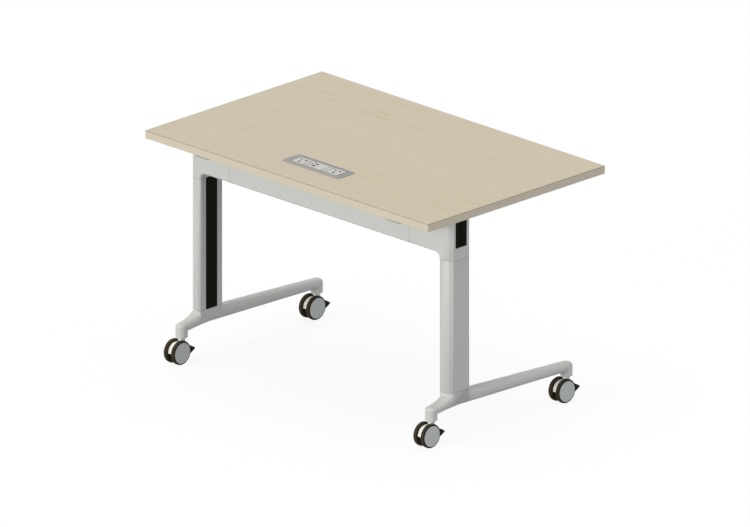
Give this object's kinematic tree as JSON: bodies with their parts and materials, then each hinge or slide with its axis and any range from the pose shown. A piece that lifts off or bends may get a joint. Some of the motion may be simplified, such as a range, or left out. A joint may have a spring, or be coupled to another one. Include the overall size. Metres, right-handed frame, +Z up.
{
  "type": "flip-top meeting table",
  "caption": "Rectangular mobile meeting table whose top tilts up to vertical for nesting, on a leg frame with braked twin-wheel casters and a power module let into it.",
  "frame": {"origin": "on the floor under the centre of the top", "axes": "+X along the length of the top, +Y from the leg side to the far long edge, +Z up"},
  "size_m": [1.2, 0.75, 0.7422],
  "materials": {
    "laminate": "matt melamine with fine straight grain",
    "edge_band": "satin edge band in the colour of the top",
    "silver_paint": "fine satin silver powder coat",
    "silver_column": "satin silver coated extrusion",
    "black_plastic": "matt black",
    "bezel_metal": "satin anodised",
    "white_plastic": "smooth white",
    "dark_steel": "grey coated sheet steel",
    "bright_steel": "bright zinc plated",
    "rest_rubber": "matt black rubber",
    "caster_white": "smooth off-white",
    "caster_grey": "smooth grey",
    "caster_tyre": "dark soft tread",
    "caster_black": "moulded black",
    "caster_steel": "zinc plated"
  },
  "bodies": {
    "frame": {"crossbeam": "silver_paint", "left_corner_casting": "silver_paint", "right_corner_casting": "silver_paint", "hinge_pins": "bright_steel", "striker_pins": "bright_steel", "rest_pads": "rest_rubber", "left_column": "silver_column", "right_column": "silver_column", "left_cable_cover": "black_plastic", "right_cable_cover": "black_plastic", "left_foot": "silver_paint", "right_foot": "silver_paint", "head_covers": "black_plastic"},
    "top": {"table_board": "laminate", "edge_banding": "edge_band", "arm_screws": "bright_steel", "module_bezel": "bezel_metal", "socket_plates": "white_plastic", "filler_strips": "white_plastic", "data_unit": "white_plastic", "module_housing": "black_plastic", "power_inlet": "black_plastic", "left_top_arm": "dark_steel", "right_top_arm": "dark_steel"},
    "latch": {"latch_shaft": "bright_steel", "latch_hooks": "bright_steel", "latch_handle": "black_plastic"},
    "near_left_swivel": {"near_left_caster_hood": "caster_white", "near_left_caster_stem": "caster_steel", "near_left_caster_axle": "caster_steel"},
    "near_left_pedal": {"near_left_caster_pedal": "caster_black"},
    "near_left_left_wheel": {"near_left_caster_left_hub": "caster_grey", "near_left_caster_left_tyre": "caster_tyre"},
    "near_left_right_wheel": {"near_left_caster_right_hub": "caster_grey", "near_left_caster_right_tyre": "caster_tyre"},
    "near_right_swivel": {"near_right_caster_hood": "caster_white", "near_right_caster_stem": "caster_steel", "near_right_caster_axle": "caster_steel"},
    "near_right_pedal": {"near_right_caster_pedal": "caster_black"},
    "near_right_left_wheel": {"near_right_caster_left_hub": "caster_grey", "near_right_caster_left_tyre": "caster_tyre"},
    "near_right_right_wheel": {"near_right_caster_right_hub": "caster_grey", "near_right_caster_right_tyre": "caster_tyre"},
    "far_left_swivel": {"far_left_caster_hood": "caster_white", "far_left_caster_stem": "caster_steel", "far_left_caster_axle": "caster_steel"},
    "far_left_pedal": {"far_left_caster_pedal": "caster_black"},
    "far_left_left_wheel": {"far_left_caster_left_hub": "caster_grey", "far_left_caster_left_tyre": "caster_tyre"},
    "far_left_right_wheel": {"far_left_caster_right_hub": "caster_grey", "far_left_caster_right_tyre": "caster_tyre"},
    "far_right_swivel": {"far_right_caster_hood": "caster_white", "far_right_caster_stem": "caster_steel", "far_right_caster_axle": "caster_steel"},
    "far_right_pedal": {"far_right_caster_pedal": "caster_black"},
    "far_right_left_wheel": {"far_right_caster_left_hub": "caster_grey", "far_right_caster_left_tyre": "caster_tyre"},
    "far_right_right_wheel": {"far_right_caster_right_hub": "caster_grey", "far_right_caster_right_tyre": "caster_tyre"}
  },
  "joints": [
    {"name": "top_tilt", "type": "hinge", "parent": "frame", "child": "top", "pos_m": [0, -0.222, 0.67], "axis": [1, 0, 0], "range_deg": [0, 90]},
    {"name": "latch_turn", "type": "hinge", "parent": "top", "child": "latch", "pos_m": [0, -0.128, 0.7], "axis": [1, 0, 0], "range_deg": [-28, 0]},
    {"name": "near_left_swivel_turn", "type": "hinge", "parent": "frame", "child": "near_left_swivel", "pos_m": [-0.5295, -0.2908, 0.08], "axis": [0, 0, 1], "continuous": true},
    {"name": "near_left_brake_press", "type": "hinge", "parent": "near_left_swivel", "child": "near_left_pedal", "pos_m": [-0.5295, -0.2838, 0.043], "axis": [1, 0, 0], "range_deg": [-10, 0]},
    {"name": "near_left_left_wheel_roll", "type": "hinge", "parent": "near_left_swivel", "child": "near_left_left_wheel", "pos_m": [-0.5295, -0.3098, 0.0375], "axis": [1, 0, 0], "continuous": true},
    {"name": "near_left_right_wheel_roll", "type": "hinge", "parent": "near_left_swivel", "child": "near_left_right_wheel", "pos_m": [-0.5295, -0.3098, 0.0375], "axis": [1, 0, 0], "continuous": true},
    {"name": "near_right_swivel_turn", "type": "hinge", "parent": "frame", "child": "near_right_swivel", "pos_m": [0.5295, -0.2908, 0.08], "axis": [0, 0, 1], "continuous": true},
    {"name": "near_right_brake_press", "type": "hinge", "parent": "near_right_swivel", "child": "near_right_pedal", "pos_m": [0.5295, -0.2838, 0.043], "axis": [1, 0, 0], "range_deg": [-10, 0]},
    {"name": "near_right_left_wheel_roll", "type": "hinge", "parent": "near_right_swivel", "child": "near_right_left_wheel", "pos_m": [0.5295, -0.3098, 0.0375], "axis": [1, 0, 0], "continuous": true},
    {"name": "near_right_right_wheel_roll", "type": "hinge", "parent": "near_right_swivel", "child": "near_right_right_wheel", "pos_m": [0.5295, -0.3098, 0.0375], "axis": [1, 0, 0], "continuous": true},
    {"name": "far_left_swivel_turn", "type": "hinge", "parent": "frame", "child": "far_left_swivel", "pos_m": [-0.5295, 0.2822, 0.08], "axis": [0, 0, 1], "continuous": true},
    {"name": "far_left_brake_press", "type": "hinge", "parent": "far_left_swivel", "child": "far_left_pedal", "pos_m": [-0.5295, 0.2892, 0.043], "axis": [1, 0, 0], "range_deg": [-10, 0]},
    {"name": "far_left_left_wheel_roll", "type": "hinge", "parent": "far_left_swivel", "child": "far_left_left_wheel", "pos_m": [-0.5295, 0.2632, 0.0375], "axis": [1, 0, 0], "continuous": true},
    {"name": "far_left_right_wheel_roll", "type": "hinge", "parent": "far_left_swivel", "child": "far_left_right_wheel", "pos_m": [-0.5295, 0.2632, 0.0375], "axis": [1, 0, 0], "continuous": true},
    {"name": "far_right_swivel_turn", "type": "hinge", "parent": "frame", "child": "far_right_swivel", "pos_m": [0.5295, 0.2822, 0.08], "axis": [0, 0, 1], "continuous": true},
    {"name": "far_right_brake_press", "type": "hinge", "parent": "far_right_swivel", "child": "far_right_pedal", "pos_m": [0.5295, 0.2892, 0.043], "axis": [1, 0, 0], "range_deg": [-10, 0]},
    {"name": "far_right_left_wheel_roll", "type": "hinge", "parent": "far_right_swivel", "child": "far_right_left_wheel", "pos_m": [0.5295, 0.2632, 0.0375], "axis": [1, 0, 0], "continuous": true},
    {"name": "far_right_right_wheel_roll", "type": "hinge", "parent": "far_right_swivel", "child": "far_right_right_wheel", "pos_m": [0.5295, 0.2632, 0.0375], "axis": [1, 0, 0], "continuous": true}
  ]
}
